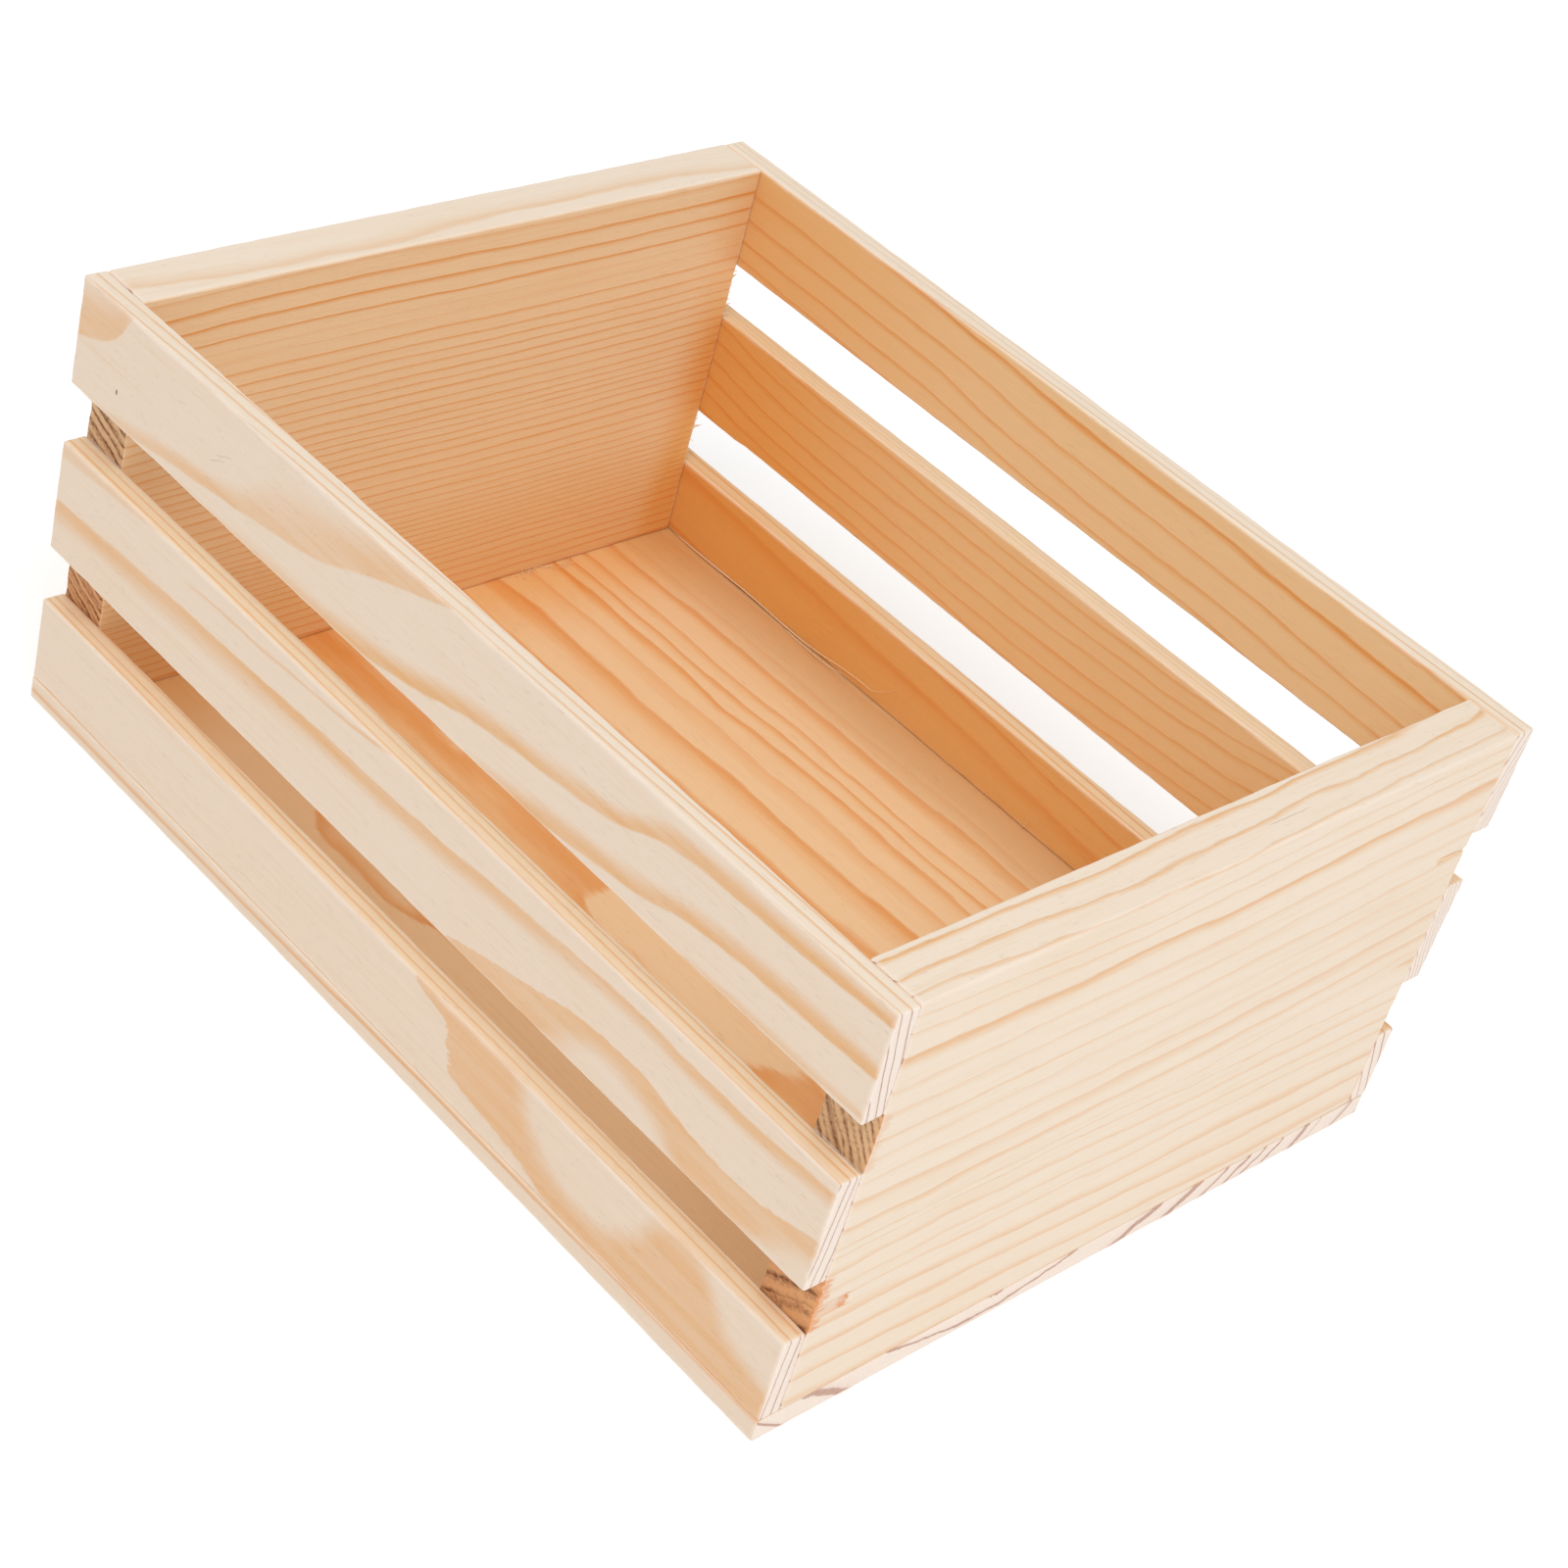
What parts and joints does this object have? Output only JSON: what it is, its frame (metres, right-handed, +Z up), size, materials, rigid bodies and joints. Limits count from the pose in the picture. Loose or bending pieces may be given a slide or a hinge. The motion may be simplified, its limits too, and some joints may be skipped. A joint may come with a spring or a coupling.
{
  "type": "slatted wooden crate",
  "caption": "Small open-topped pine crate: solid end boards on a flat bottom board, closed at the long sides by spaced horizontal slats.",
  "frame": {"origin": "middle of the underside, on the surface that the crate stands on", "axes": "+X along the slats towards the right end board, -Y towards the front side, +Z up through the open top"},
  "size_m": [0.25, 0.186, 0.11],
  "materials": {
    "end_board_pine": "planed, unfinished",
    "bottom_board_pine": "planed, unfinished",
    "slat_pine": "planed, unfinished",
    "pin_steel": "drawn wire"
  },
  "bodies": {
    "root": {"left_end_board": "end_board_pine", "right_end_board": "end_board_pine", "bottom_board": "bottom_board_pine", "front_top_slat": "slat_pine", "front_middle_slat": "slat_pine", "front_low_slat": "slat_pine", "back_top_slat": "slat_pine", "back_middle_slat": "slat_pine", "back_low_slat": "slat_pine", "front_top_slat_left_pins": "pin_steel", "front_top_slat_right_pins": "pin_steel", "front_middle_slat_left_pins": "pin_steel", "front_middle_slat_right_pins": "pin_steel", "front_low_slat_left_pins": "pin_steel", "front_low_slat_right_pins": "pin_steel", "back_top_slat_left_pins": "pin_steel", "back_top_slat_right_pins": "pin_steel", "back_middle_slat_left_pins": "pin_steel", "back_middle_slat_right_pins": "pin_steel", "back_low_slat_left_pins": "pin_steel", "back_low_slat_right_pins": "pin_steel", "bottom_board_left_pins": "pin_steel", "bottom_board_right_pins": "pin_steel", "bottom_board_front_pins": "pin_steel", "bottom_board_back_pins": "pin_steel"}
  },
  "joints": []
}
